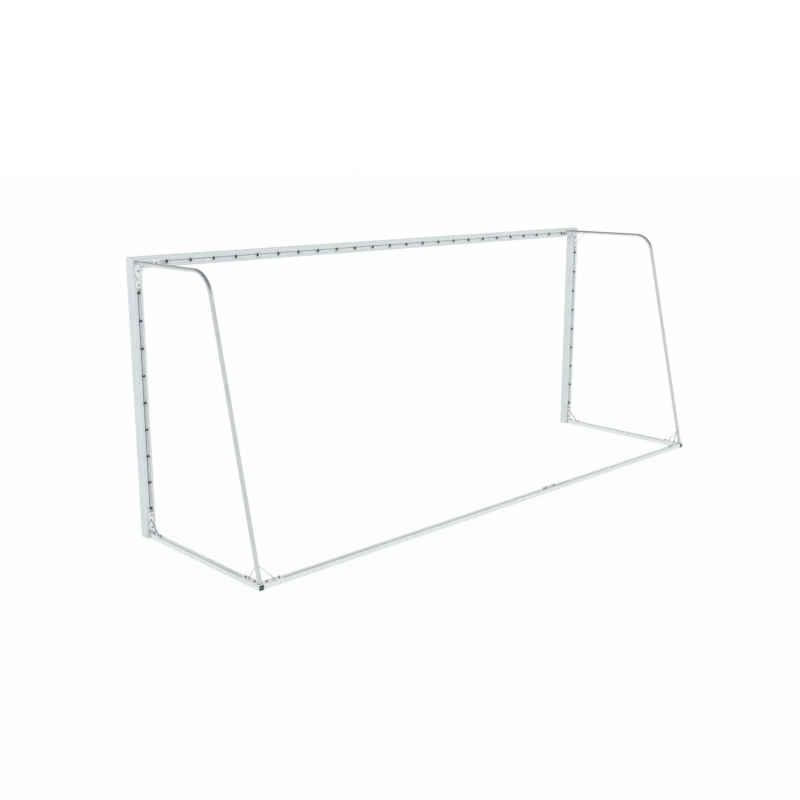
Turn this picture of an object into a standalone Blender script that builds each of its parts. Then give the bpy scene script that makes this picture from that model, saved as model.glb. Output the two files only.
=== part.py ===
"""A free-standing ball goal, 5 m wide and 2 m high inside, with a bolted ground frame.

The mouth is made of one square aluminium extrusion with a net groove in its rear face, mitred
at the two top corners over hidden corner connectors. Two bent tubes carry the net. Each is welded
at both ends to an L-shaped plate with two braces, and the plates are bolted to the mouth and to
the ground frame. X runs across the mouth, +Y runs from the mouth towards the net, +Z is up, and
the origin is on the ground under the middle of the goal. Lengths are in metres.
"""

import math

import bmesh
import bpy
from mathutils import Matrix, Vector
from mathutils.geometry import tessellate_polygon

# Fits
GAP = 0.0003

# Mouth of the goal
MOUTH_WIDTH = 5.000
MOUTH_HEIGHT = 2.000
FRAME_DEPTH = 1.455

# Square extrusion of the posts and the crossbar
PROFILE = 0.080
PROFILE_WALL = 0.0025
PROFILE_CORNER = 0.006
GROOVE_WIDTH = 0.026
GROOVE_OFFSET = 0.008
GROOVE_DEPTH = 0.016
GROOVE_CHAMFER = 0.0015
UNDERCUT_WIDTH = 0.031

# Corner connectors inside the mitres
CONNECTOR_LEG = 0.150
CONNECTOR_WALL = 0.004
CONNECTOR_CLEARANCE = 0.0004
CONNECTOR_CHAMFER = 0.003
SCREW_PLACES = (0.080, 0.125)
SCREW_HOLE_DIAMETER = 0.0065

# Plastic plugs in the feet of the posts
PLUG_RISE = 0.002
PLUG_FLOOR = 0.003
PLUG_WALL = 0.0025
PLUG_HEIGHT = 0.025

# Net hooks, moulded onto strips that slide into the undercut of the groove
HOOK_PITCH = 0.200
HOOK_END_SPACE = 0.018
STRIP_THICKNESS = 0.003
STRIP_END_MARGIN = 0.0025
RAIL_SLOT = 0.004
RAIL_RECESS = 0.002
HOOK_LENGTH = 0.016
HOOK_STEM = 0.005
HOOK_SETBACK = 0.006
HOOK_REACH = 0.0185
HOOK_FINGER = 0.004
HOOK_ENTRY = 0.0045
HOOK_NOSE = 0.0035
HOOK_NOSE_DROP = 0.0015
HOOK_ROUND = 0.0011

# Bent tubes that carry the net
TUBE_DIAMETER = 0.030
TUBE_WALL = 0.002
TUBE_BEND = 0.180
TUBE_REACH = 0.885

# Bracket plates, wider than the tubes welded to them, and their braces
PLATE = 0.005
PLATE_WELD_SPACE = 0.005
PLATE_WIDTH = TUBE_DIAMETER + 2 * PLATE_WELD_SPACE
PLATE_ARM = 0.180
PLATE_CORNER = 0.005
PLATE_BOLTS = (0.057, 0.158)
STAY_DIAMETER = 0.008
STAY_FOOT = 0.122
STAY_RISE = 0.125

# Ground frame, of bars as wide as the plates that lie on them
BAR = PLATE_WIDTH
BAR_WALL = 0.002
BAR_CORNER = 0.005
CAP_RECESS = 0.0005
CAP_RIM = 0.005
CAP_DISH = 0.0015
CAP_FLOOR = 0.004
CAP_DEPTH = 0.018
CAP_WALL = 0.0025

# Splice of the rear bar
SPLICE_X = -0.500
SLEEVE_LENGTH = 0.240
SLEEVE_WALL = 0.0025
SPLICE_PLATE_LENGTH = 0.165
SPLICE_BOLT_OFFSET = 0.055

# Bent brackets between the posts and the side bars
BRACKET_HEIGHT = 0.196
BRACKET_LENGTH = 0.140
BRACKET_BEND = 0.008
BRACKET_POST_BOLTS = (0.080, 0.172)
BRACKET_BAR_BOLTS = (0.040, 0.125)
BASE_STAY_HEIGHT = 0.140

# Bolt holes, and the tapped bars behind them in the groove
BOLT_HOLE_DIAMETER = 0.009
TAPPED_HOLE_DIAMETER = 0.008
TAPPED_BAR_HEIGHT = 0.009
TAPPED_BAR_MARGIN = 0.012

# Fineness of round shapes
CORNER_STEPS = 3
HOOK_STEPS = 2
ROUND_STEPS = 12
TUBE_STEPS = 20
BEND_STEPS = 10
SMOOTH_ANGLE = math.radians(35)

# Places worked out from the sizes above
FRONT_Y = -FRAME_DEPTH / 2
POST_Y = FRONT_Y + PROFILE / 2
REAR_FACE_Y = FRONT_Y + PROFILE
POST_X = MOUTH_WIDTH / 2 + PROFILE / 2
CROSSBAR_Z = MOUTH_HEIGHT + PROFILE / 2
POST_GROOVE_X = POST_X - GROOVE_OFFSET
CROSSBAR_GROOVE_Z = CROSSBAR_Z - GROOVE_OFFSET
BAR_END_Y = FRAME_DEPTH / 2
REAR_BAR_Y = BAR_END_Y - BAR / 2
WALL_PLATE_Y = REAR_FACE_Y + GAP
WALL_PLATE_REAR_Y = WALL_PLATE_Y + PLATE
BAR_PLATE_Z = BAR + GAP
BAR_PLATE_TOP_Z = BAR_PLATE_Z + PLATE
CAVITY_HALF = PROFILE / 2 - PROFILE_WALL
CAVITY_REAR = PROFILE / 2 - GROOVE_DEPTH - PROFILE_WALL
CAVITY_MIDDLE = (CAVITY_REAR - CAVITY_HALF) / 2
UNDERCUT_DEPTH = GROOVE_DEPTH - STRIP_THICKNESS - 2 * GAP
STRIP_BOTTOM = GAP - GROOVE_DEPTH
STRIP_TOP = STRIP_BOTTOM + STRIP_THICKNESS

X_AXIS = Vector((1, 0, 0))
Y_AXIS = Vector((0, 1, 0))
Z_AXIS = Vector((0, 0, 1))
SIDES = (("left", -1), ("right", 1))


# Materials

def make_material(name, colour, roughness, metallic):
    material = bpy.data.materials.new(name)
    material.use_nodes = True
    shader = material.node_tree.nodes["Principled BSDF"]
    shader.inputs["Base Color"].default_value = (*colour, 1)
    shader.inputs["Roughness"].default_value = roughness
    shader.inputs["Metallic"].default_value = metallic
    return material


# Outlines, as lists of two-dimensional points in anticlockwise order

def rounded(points, radius, steps=CORNER_STEPS):
    """An outline with an arc, tangent to both sides, at each corner."""
    corners = [Vector(point) for point in points]
    outline = []
    for index, corner in enumerate(corners):
        back = (corners[index - 1] - corner).normalized()
        ahead = (corners[(index + 1) % len(corners)] - corner).normalized()
        half = back.angle(ahead) / 2
        centre = corner + (back + ahead).normalized() * radius / math.sin(half)
        start = corner + back * radius / math.tan(half) - centre
        end = corner + ahead * radius / math.tan(half) - centre
        turn = math.atan2(start.x * end.y - start.y * end.x, start.dot(end))
        for step in range(steps + 1):
            angle = turn * step / steps
            swung = (start.x * math.cos(angle) - start.y * math.sin(angle),
                     start.x * math.sin(angle) + start.y * math.cos(angle))
            outline.append(centre + Vector(swung))
    return outline


def rectangle(left, bottom, right, top):
    return [Vector((left, bottom)), Vector((right, bottom)), Vector((right, top)),
            Vector((left, top))]


def square(half):
    return rectangle(-half, -half, half, half)


def circle(radius, steps=ROUND_STEPS, centre=(0, 0)):
    turns = [2 * math.pi * step / steps for step in range(steps)]
    return [Vector(centre) + radius * Vector((math.cos(turn), math.sin(turn))) for turn in turns]


def ell(half, arm):
    """An L with its corner at the upper right: one arm runs left and one runs down."""
    points = [(half, half), (-arm, half), (-arm, -half), (-half, -half), (-half, -arm),
              (half, -arm)]
    return [Vector(point) for point in points]


def profile_outline():
    """The outside of the extrusion: the outer side at the right, the net groove at the top.

    The groove lies a little nearer to the side that faces the mouth.
    """
    half = PROFILE / 2
    shell = rounded(square(half), PROFILE_CORNER)
    before_groove = 3 * (CORNER_STEPS + 1)
    wide = GROOVE_WIDTH / 2
    wider = UNDERCUT_WIDTH / 2
    groove = [(wide + GROOVE_CHAMFER, half), (wide, half - GROOVE_CHAMFER),
              (wide, half - UNDERCUT_DEPTH), (wider, half - UNDERCUT_DEPTH),
              (wider, half - GROOVE_DEPTH)]
    mirrored = [(-across, out) for across, out in reversed(groove)]
    points = [Vector((across - GROOVE_OFFSET, out)) for across, out in groove + mirrored]
    return shell[:before_groove] + points + shell[before_groove:]


def profile_cavity():
    """The hollow of the extrusion, which goes round the box that holds the groove."""
    half = CAVITY_HALF
    shell = rounded(square(half), PROFILE_CORNER - PROFILE_WALL)
    before_box = 3 * (CORNER_STEPS + 1)
    outer = UNDERCUT_WIDTH / 2 + PROFILE_WALL - GROOVE_OFFSET
    inner = -UNDERCUT_WIDTH / 2 - PROFILE_WALL - GROOVE_OFFSET
    box = [(outer, half), (outer, CAVITY_REAR), (inner, CAVITY_REAR), (inner, half)]
    return shell[:before_box] + [Vector(point) for point in box] + shell[before_box:]


def hook_outline():
    """A net hook seen along the groove: outwards from the mouth, and out of the rear face.

    A stem rises from the rail in the groove. Its finger points away from the mouth over the edge
    of the groove, and its nose leaves a gap to the rear face, through which a net's cord goes in.
    """
    finger_bottom = HOOK_ENTRY + HOOK_NOSE_DROP
    finger_top = finger_bottom + HOOK_FINGER
    stem = HOOK_STEM - HOOK_SETBACK
    points = [(-HOOK_SETBACK, STRIP_TOP), (stem, STRIP_TOP), (stem, finger_bottom),
              (HOOK_REACH - HOOK_NOSE, finger_bottom), (HOOK_REACH - HOOK_NOSE, HOOK_ENTRY),
              (HOOK_REACH, HOOK_ENTRY), (HOOK_REACH, finger_top), (-HOOK_SETBACK, finger_top)]
    return rounded(points, HOOK_ROUND, HOOK_STEPS)


def strip_outline():
    """A hook strip seen along the groove: a base in the undercut, and a rail that nearly fills
    the groove and leaves a slot along its side away from the mouth."""
    base = UNDERCUT_WIDTH / 2 - GAP
    inner = GAP - GROOVE_WIDTH / 2
    outer = GROOVE_WIDTH / 2 - GAP - RAIL_SLOT
    points = [(-base, STRIP_BOTTOM), (base, STRIP_BOTTOM), (base, STRIP_TOP),
              (outer, STRIP_TOP), (outer, -RAIL_RECESS), (inner, -RAIL_RECESS),
              (inner, STRIP_TOP), (-base, STRIP_TOP)]
    return [Vector(point) for point in points]


def tapped_bar_outline():
    """A tapped bar seen along the groove: a base in the undercut and a narrower body."""
    wide = GROOVE_WIDTH / 2 - GAP
    wider = UNDERCUT_WIDTH / 2 - GAP
    top = STRIP_BOTTOM + TAPPED_BAR_HEIGHT
    half = [(wider, STRIP_BOTTOM), (wider, STRIP_TOP), (wide, STRIP_TOP), (wide, top)]
    mirrored = [(-across, out) for across, out in reversed(half)]
    return [Vector(point) for point in half + mirrored]


# Solids, added to a mesh under construction

def basis(across, up, along):
    """The turn that carries an outline's two directions and its extrusion to space."""
    return Matrix((across, up, along)).transposed()


def add_stack(bm, rings):
    """A closed solid through rings of equal counts, with its first and last ring filled."""
    loops = [[bm.verts.new(point) for point in ring] for ring in rings]
    for lower, upper in zip(loops, loops[1:]):
        for index in range(len(lower)):
            bm.faces.new((lower[index - 1], lower[index], upper[index], upper[index - 1]))
    bm.faces.new(loops[0])
    bm.faces.new(loops[-1])


def add_prism(bm, outlines, turn, centre, start, end):
    """An extrusion of an outline and its holes, whose ends may slope with the outline."""
    rims = []
    for limit in (start, end):
        rims.append([[bm.verts.new(centre + turn @ Vector((*point, limit(point))))
                      for point in outline] for outline in outlines])
    for low_rim, high_rim in zip(*rims):
        for index in range(len(low_rim)):
            bm.faces.new((low_rim[index - 1], low_rim[index], high_rim[index],
                          high_rim[index - 1]))
    flat_outlines = [[point.to_3d() for point in outline] for outline in outlines]
    for triangle in tessellate_polygon(flat_outlines):
        for rim in rims:
            corners = [vert for loop in rim for vert in loop]
            bm.faces.new([corners[index] for index in triangle])


def level(value):
    """A flat end of a prism."""
    return lambda point: value


def plane_distance(origin, direction, point, normal):
    return (point - origin).dot(normal) / direction.dot(normal)


def add_stay(bm, start, direction, start_distance, end_distance):
    """A round brace whose two ends are cut to the surfaces that they are welded to."""
    side = direction.orthogonal().normalized()
    other = direction.cross(side)
    rings = ([], [])
    for point in circle(STAY_DIAMETER / 2):
        origin = start + side * point.x + other * point.y
        for ring, distance in zip(rings, (start_distance, end_distance)):
            ring.append(origin + direction * distance(origin, direction))
    add_stack(bm, rings)


# Objects

def finish(name, bm, material):
    """Turn a mesh under construction into a named object, shaded smooth between its edges."""
    bmesh.ops.recalc_face_normals(bm, faces=bm.faces)
    mesh = bpy.data.meshes.new(name)
    bm.to_mesh(mesh)
    bm.free()
    mesh.materials.append(material)
    mesh.shade_smooth()
    mesh.set_sharp_from_angle(angle=SMOOTH_ANGLE)
    piece = bpy.data.objects.new(name, mesh)
    bpy.context.scene.collection.objects.link(piece)
    return piece


def boolean(piece, operation, bm):
    """Cut a mesh under construction from a piece, or join it to the piece."""
    bmesh.ops.recalc_face_normals(bm, faces=bm.faces)
    mesh = bpy.data.meshes.new(piece.name + "_tool")
    bm.to_mesh(mesh)
    bm.free()
    for material in piece.data.materials:
        mesh.materials.append(material)
    tool = bpy.data.objects.new(mesh.name, mesh)
    bpy.context.scene.collection.objects.link(tool)
    tool.location = piece.location
    tool.hide_render = True
    tool.display_type = "WIRE"
    modifier = piece.modifiers.new(operation.capitalize(), "BOOLEAN")
    modifier.operation = operation
    modifier.solver = "EXACT"
    modifier.object = tool


def drill(piece, holes, diameter, depth):
    """Cut round holes, each given by a point on the surface and the way out of it."""
    bm = bmesh.new()
    for point, outward in holes:
        side = outward.orthogonal().normalized()
        turn = basis(side, outward.cross(side), outward)
        add_prism(bm, [circle(diameter / 2)], turn, point, level(-depth), level(depth))
    boolean(piece, "DIFFERENCE", bm)


# Mouth of the goal: a crossbar and two posts from the same extrusion, mitred at the corners

def screw_holes(side):
    """A corner's screw holes: in the underside of the crossbar and the inside of the post."""
    for place in SCREW_PLACES:
        yield Vector((side * (POST_X - place), POST_Y + CAVITY_MIDDLE, MOUTH_HEIGHT)), -Z_AXIS
    for place in SCREW_PLACES:
        inner_face = side * MOUTH_WIDTH / 2
        yield Vector((inner_face, POST_Y + CAVITY_MIDDLE, CROSSBAR_Z - place)), -side * X_AXIS


def make_crossbar(material):
    origin = Vector((0, POST_Y, CROSSBAR_Z))
    backed_off = POST_X - GAP / math.sqrt(2)
    bm = bmesh.new()
    add_prism(bm, [profile_outline(), profile_cavity()], basis(Z_AXIS, Y_AXIS, X_AXIS), Vector(),
              lambda point: -backed_off - point.x, lambda point: backed_off + point.x)
    crossbar = finish("crossbar", bm, material)
    crossbar.location = origin
    holes = [(seat - origin, outward) for name, side in SIDES
             for seat, outward in screw_holes(side) if outward.z]
    drill(crossbar, holes, SCREW_HOLE_DIAMETER, 2 * PROFILE_WALL)


def make_post(name, side, material):
    origin = Vector((side * POST_X, POST_Y, 0))
    backed_off = CROSSBAR_Z - GAP / math.sqrt(2)
    bm = bmesh.new()
    add_prism(bm, [profile_outline(), profile_cavity()], basis(side * X_AXIS, Y_AXIS, Z_AXIS),
              Vector(), level(0), lambda point: backed_off + point.x)
    post = finish("post_" + name, bm, material)
    post.location = origin
    holes = [(seat - origin, outward) for seat, outward in screw_holes(side) if outward.x]
    drill(post, holes, SCREW_HOLE_DIAMETER, 2 * PROFILE_WALL)


def make_corner_connector(name, side, material):
    """An L-shaped casting, open at the rear, that fills the hollow of both mitred pieces."""
    origin = Vector((side * POST_X, POST_Y, CROSSBAR_Z))
    half = CAVITY_HALF - CONNECTOR_CLEARANCE
    outer = ell(half, CONNECTOR_LEG)
    inner = ell(half - CONNECTOR_WALL, CONNECTOR_LEG - CONNECTOR_WALL)
    front = CONNECTOR_CLEARANCE - CAVITY_HALF
    rear = CAVITY_REAR - CONNECTOR_CLEARANCE
    nose = ell(half - CONNECTOR_CHAMFER, CONNECTOR_LEG - CONNECTOR_CHAMFER)
    steps = ((nose, front), (outer, front + CONNECTOR_CHAMFER), (outer, rear), (inner, rear),
             (inner, front + CONNECTOR_WALL))
    bm = bmesh.new()
    add_stack(bm, [[Vector((side * point.x, out, point.y)) for point in ring]
                   for ring, out in steps])
    connector = finish("corner_connector_" + name, bm, material)
    connector.location = origin
    holes = [(seat - origin, outward) for seat, outward in screw_holes(side)]
    drill(connector, holes, SCREW_HOLE_DIAMETER, PROFILE_WALL + 2 * CONNECTOR_WALL)


def make_post_plug(name, side, material):
    """A plastic tray pushed up into the foot of the post, in front of the groove."""
    outer_half = CAVITY_HALF - GAP
    inner_half = outer_half - PLUG_WALL
    corner = PROFILE_CORNER - PROFILE_WALL
    outer = rounded(rectangle(-outer_half, -outer_half, outer_half, CAVITY_REAR - GAP), corner)
    inner = rounded(rectangle(-inner_half, -inner_half, inner_half,
                              CAVITY_REAR - GAP - PLUG_WALL), corner)
    steps = ((outer, PLUG_RISE), (outer, PLUG_RISE + PLUG_HEIGHT),
             (inner, PLUG_RISE + PLUG_HEIGHT), (inner, PLUG_RISE + PLUG_FLOOR))
    bm = bmesh.new()
    add_stack(bm, [[Vector((*point, up)) for point in ring] for ring, up in steps])
    finish("post_plug_" + name, bm, material).location = (side * POST_X, POST_Y, 0)


# Net hooks: one strip in the groove of the crossbar and one in each post

def hooks_in(length):
    """How many hooks fit in a length of groove at their pitch."""
    return math.floor(length / HOOK_PITCH) + 1


def make_hook_strip(name, middle, count, across, along, strip_material, hook_material):
    """A strip with a row of hooks, whose fingers point the way of the across direction."""
    turn = basis(across, Y_AXIS, along)
    half_row = HOOK_PITCH * (count - 1) / 2
    half_length = half_row + HOOK_LENGTH / 2 + STRIP_END_MARGIN
    bm = bmesh.new()
    add_prism(bm, [strip_outline()], turn, Vector(), level(-half_length), level(half_length))
    strip = finish(name, bm, strip_material)
    strip.location = middle
    strip.data.materials.append(hook_material)
    bm = bmesh.new()
    for index in range(count):
        place = along * (HOOK_PITCH * index - half_row)
        add_prism(bm, [hook_outline()], turn, place, level(-HOOK_LENGTH / 2),
                  level(HOOK_LENGTH / 2))
    for face in bm.faces:
        face.material_index = 1
    boolean(strip, "UNION", bm)


def make_hook_strips(strip_material, hook_material):
    """Rows of hooks centred between the plates and brackets that close the groove's ends."""
    free_width = 2 * (POST_X - PLATE_ARM - HOOK_END_SPACE)
    make_hook_strip("hook_strip_crossbar", Vector((0, REAR_FACE_Y, CROSSBAR_GROOVE_Z)),
                    hooks_in(free_width), Z_AXIS, X_AXIS, strip_material, hook_material)
    highest = CROSSBAR_Z - PLATE_ARM - HOOK_END_SPACE
    lowest = BRACKET_HEIGHT + HOOK_END_SPACE
    for name, side in SIDES:
        middle = Vector((side * POST_GROOVE_X, REAR_FACE_Y, (lowest + highest) / 2))
        make_hook_strip("hook_strip_post_" + name, middle, hooks_in(highest - lowest),
                        side * X_AXIS, Z_AXIS, strip_material, hook_material)


# Tapped bars in the groove, which the bolts of the plates and brackets pull against its lips

def make_tapped_bar(name, corner, away, places, material):
    """A bar with one tapped hole for each bolt, at places measured from a corner."""
    first = places[0] - TAPPED_BAR_MARGIN
    last = places[-1] + TAPPED_BAR_MARGIN
    bm = bmesh.new()
    add_prism(bm, [tapped_bar_outline()], basis(Y_AXIS.cross(away), Y_AXIS, away), Vector(),
              level(first), level(last))
    bar = finish(name, bm, material)
    bar.location = corner
    drill(bar, [(away * place, Y_AXIS) for place in places], TAPPED_HOLE_DIAMETER, GROOVE_DEPTH)


def make_tapped_bars(name, side, material):
    in_crossbar = Vector((side * POST_X, REAR_FACE_Y, CROSSBAR_GROOVE_Z))
    make_tapped_bar("tapped_bar_crossbar_" + name, in_crossbar, -side * X_AXIS, PLATE_BOLTS,
                    material)
    in_post = Vector((side * POST_GROOVE_X, REAR_FACE_Y, CROSSBAR_Z))
    make_tapped_bar("tapped_bar_post_top_" + name, in_post, -Z_AXIS, PLATE_BOLTS, material)
    foot = Vector((side * POST_GROOVE_X, REAR_FACE_Y, 0))
    make_tapped_bar("tapped_bar_post_foot_" + name, foot, Z_AXIS, BRACKET_POST_BOLTS, material)


# Net arches: a bent tube between two L-shaped plates, with two braces at each plate

def arch_foot(side):
    """Where the axis of a leg meets the plate on the ground frame."""
    return Vector((side * POST_X, REAR_BAR_Y, BAR_PLATE_TOP_Z))


def arch_bend(side):
    """Where the axes of the two straight runs of an arch would meet."""
    return Vector((side * POST_X, REAR_FACE_Y + TUBE_REACH, CROSSBAR_Z))


def leg_direction(side):
    return (arch_foot(side) - arch_bend(side)).normalized()


def arch_path(side):
    """Points of the arch's axis through the bend, each with the direction at that point."""
    bend = arch_bend(side)
    leg = leg_direction(side)
    turn = Y_AXIS.angle(leg)
    tangent = TUBE_BEND * math.tan(turn / 2)
    start = bend - Y_AXIS * tangent
    centre = start - Z_AXIS * TUBE_BEND
    for step in range(BEND_STEPS + 1):
        angle = turn * step / BEND_STEPS
        out = Y_AXIS * math.sin(angle) + Z_AXIS * math.cos(angle)
        along = Y_AXIS * math.cos(angle) - Z_AXIS * math.sin(angle)
        yield centre + TUBE_BEND * out, along


def arch_skin(side, radius):
    """Rings of the tube's skin at one radius, from the upper plate to the lower one."""
    upper = Vector((side * POST_X, WALL_PLATE_REAR_Y + GAP, CROSSBAR_Z))
    rings = [[upper + X_AXIS * point.x + Z_AXIS * point.y
              for point in circle(radius, TUBE_STEPS)]]
    for centre, along in arch_path(side):
        up = X_AXIS.cross(along)
        rings.append([centre + X_AXIS * point.x + up * point.y
                      for point in circle(radius, TUBE_STEPS)])
    leg = leg_direction(side)
    plate = arch_foot(side) + Z_AXIS * GAP
    rings.append([point + leg * plane_distance(point, leg, plate, Z_AXIS)
                  for point in rings[-1]])
    return rings


def make_arch(name, side, material):
    outer = arch_skin(side, TUBE_DIAMETER / 2)
    inner = arch_skin(side, TUBE_DIAMETER / 2 - TUBE_WALL)
    bm = bmesh.new()
    loops = [[bm.verts.new(point) for point in ring] for ring in outer + inner[::-1]]
    for lower, upper in zip(loops, loops[1:] + loops[:1]):
        for index in range(TUBE_STEPS):
            bm.faces.new((lower[index - 1], lower[index], upper[index], upper[index - 1]))
    finish("arch_" + name, bm, material)


def plate_holes(offset):
    """Centres of an L-shaped plate's bolt holes, in rows offset towards its inner corner."""
    return ([(-place, -offset) for place in PLATE_BOLTS]
            + [(-offset, -place) for place in PLATE_BOLTS])


def add_ell_plate(bm, centre, turn, hole_offset):
    outline = rounded(ell(PLATE_WIDTH / 2, PLATE_ARM), PLATE_CORNER)
    holes = [circle(BOLT_HOLE_DIAMETER / 2, ROUND_STEPS, place)
             for place in plate_holes(hole_offset)]
    add_prism(bm, [outline] + holes, turn, centre, level(0), level(PLATE))


def make_arch_plates(name, side, material):
    """The plate behind the mouth's corner and the plate on the ground frame's corner."""
    bm = bmesh.new()
    add_ell_plate(bm, Vector((side * POST_X, WALL_PLATE_Y, CROSSBAR_Z)),
                  basis(side * X_AXIS, Z_AXIS, Y_AXIS), GROOVE_OFFSET)
    finish("arch_top_plate_" + name, bm, material)
    bm = bmesh.new()
    add_ell_plate(bm, Vector((side * POST_X, REAR_BAR_Y, BAR_PLATE_Z)),
                  basis(side * X_AXIS, Y_AXIS, Z_AXIS), 0)
    finish("arch_foot_plate_" + name, bm, material)


def make_tube_stay(name, corner, away, along, normal, material):
    """A brace from a plate's arm to the side of the tube that leaves the plate at its corner."""
    start = corner + away * STAY_FOOT
    target = corner + along * STAY_RISE / along.dot(normal)
    surface = corner + normal * GAP
    facing = (away - along * away.dot(along)).normalized()
    skin = corner + facing * (TUBE_DIAMETER / 2 + GAP)
    bm = bmesh.new()
    add_stay(bm, start, (target - start).normalized(),
             lambda origin, way: plane_distance(origin, way, surface, normal),
             lambda origin, way: plane_distance(origin, way, skin, facing))
    finish(name, bm, material)


def make_arch_stays(name, side, material):
    top = Vector((side * POST_X, WALL_PLATE_REAR_Y, CROSSBAR_Z))
    inwards = -side * X_AXIS
    make_tube_stay("arch_top_stay_post_" + name, top, -Z_AXIS, Y_AXIS, Y_AXIS, material)
    make_tube_stay("arch_top_stay_crossbar_" + name, top, inwards, Y_AXIS, Y_AXIS, material)
    foot = arch_foot(side)
    leg = -leg_direction(side)
    make_tube_stay("arch_foot_stay_side_" + name, foot, -Y_AXIS, leg, Z_AXIS, material)
    make_tube_stay("arch_foot_stay_rear_" + name, foot, inwards, leg, Z_AXIS, material)


# Ground frame: two side bars, and a rear bar in two lengths between them

def bar_sections(half, wall, corner):
    return [rounded(square(half), corner), rounded(square(half - wall), corner - wall)]


def side_bar_holes(side):
    """Bolt holes in the top of a side bar, for its bracket and for the arch's plate."""
    places = [REAR_FACE_Y + place for place in BRACKET_BAR_BOLTS]
    places += [REAR_BAR_Y - place for place in PLATE_BOLTS]
    return [Vector((side * POST_X, place, BAR)) for place in places]


def rear_plate_holes(side):
    return [Vector((side * (POST_X - place), REAR_BAR_Y, BAR)) for place in PLATE_BOLTS]


def splice_holes():
    return [Vector((SPLICE_X + end * SPLICE_BOLT_OFFSET, REAR_BAR_Y, BAR)) for end in (-1, 1)]


def make_side_bar(name, side, material):
    origin = Vector((side * POST_X, 0, BAR / 2))
    bm = bmesh.new()
    add_prism(bm, bar_sections(BAR / 2, BAR_WALL, BAR_CORNER), basis(X_AXIS, Z_AXIS, Y_AXIS),
              Vector(), level(REAR_FACE_Y + GAP), level(BAR_END_Y))
    bar = finish("side_bar_" + name, bm, material)
    bar.location = origin
    drill(bar, [(hole - origin, Z_AXIS) for hole in side_bar_holes(side)], BOLT_HOLE_DIAMETER,
          2 * BAR_WALL)


def make_rear_bar(name, side, material):
    origin = Vector((SPLICE_X, REAR_BAR_Y, BAR / 2))
    outer_end = side * (POST_X - BAR / 2 - GAP) - SPLICE_X
    bm = bmesh.new()
    add_prism(bm, bar_sections(BAR / 2, BAR_WALL, BAR_CORNER), basis(Y_AXIS, Z_AXIS, X_AXIS),
              Vector(), level(side * GAP / 2), level(outer_end))
    bar = finish("rear_bar_" + name, bm, material)
    bar.location = origin
    holes = rear_plate_holes(side) + [hole for hole in splice_holes()
                                      if (hole.x - SPLICE_X) * side > 0]
    drill(bar, [(hole - origin, Z_AXIS) for hole in holes], BOLT_HOLE_DIAMETER, 2 * BAR_WALL)


def make_end_cap(name, side, material):
    """A plastic cap pushed into the end of the side bar, with a dish in its face."""
    plug_half = BAR / 2 - BAR_WALL - GAP
    corner = BAR_CORNER - BAR_WALL
    plug = rounded(square(plug_half), corner)
    dish = rounded(square(plug_half - CAP_RIM), corner)
    hollow = rounded(square(plug_half - CAP_WALL), corner)
    face = -CAP_RECESS
    steps = ((dish, face - CAP_DISH), (dish, face), (plug, face), (plug, -CAP_DEPTH),
             (hollow, -CAP_DEPTH), (hollow, -CAP_FLOOR))
    bm = bmesh.new()
    add_stack(bm, [[Vector((point.x, out, point.y)) for point in ring] for ring, out in steps])
    cap = finish("end_cap_" + name, bm, material)
    cap.location = (side * POST_X, BAR_END_Y, BAR / 2)


def make_splice(bar_material, plate_material):
    """The sleeve inside the joint of the rear bar and the plate over it."""
    origin = Vector((SPLICE_X, REAR_BAR_Y, BAR / 2))
    half = BAR / 2 - BAR_WALL - GAP
    bm = bmesh.new()
    add_prism(bm, bar_sections(half, SLEEVE_WALL, BAR_CORNER - BAR_WALL),
              basis(Y_AXIS, Z_AXIS, X_AXIS), Vector(), level(-SLEEVE_LENGTH / 2),
              level(SLEEVE_LENGTH / 2))
    sleeve = finish("splice_sleeve", bm, bar_material)
    sleeve.location = origin
    drill(sleeve, [(hole - origin, Z_AXIS) for hole in splice_holes()], BOLT_HOLE_DIAMETER,
          BAR_WALL + 2 * SLEEVE_WALL)
    outline = rounded(rectangle(-SPLICE_PLATE_LENGTH / 2, -PLATE_WIDTH / 2,
                                SPLICE_PLATE_LENGTH / 2, PLATE_WIDTH / 2), PLATE_CORNER)
    holes = [circle(BOLT_HOLE_DIAMETER / 2, ROUND_STEPS, (end * SPLICE_BOLT_OFFSET, 0))
             for end in (-1, 1)]
    bm = bmesh.new()
    add_prism(bm, [outline] + holes, basis(X_AXIS, Y_AXIS, Z_AXIS),
              Vector((SPLICE_X, REAR_BAR_Y, BAR_PLATE_Z)), level(0), level(PLATE))
    finish("splice_plate", bm, plate_material)


# Bent brackets that tie the side bars to the posts

def bracket_holes(side):
    """Bolt seats of a bracket: up the post, then along the side bar."""
    for height in BRACKET_POST_BOLTS:
        yield Vector((side * POST_GROOVE_X, WALL_PLATE_REAR_Y, height)), Y_AXIS
    for place in BRACKET_BAR_BOLTS:
        yield Vector((side * POST_X, REAR_FACE_Y + place, BAR_PLATE_TOP_Z)), Z_AXIS


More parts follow.
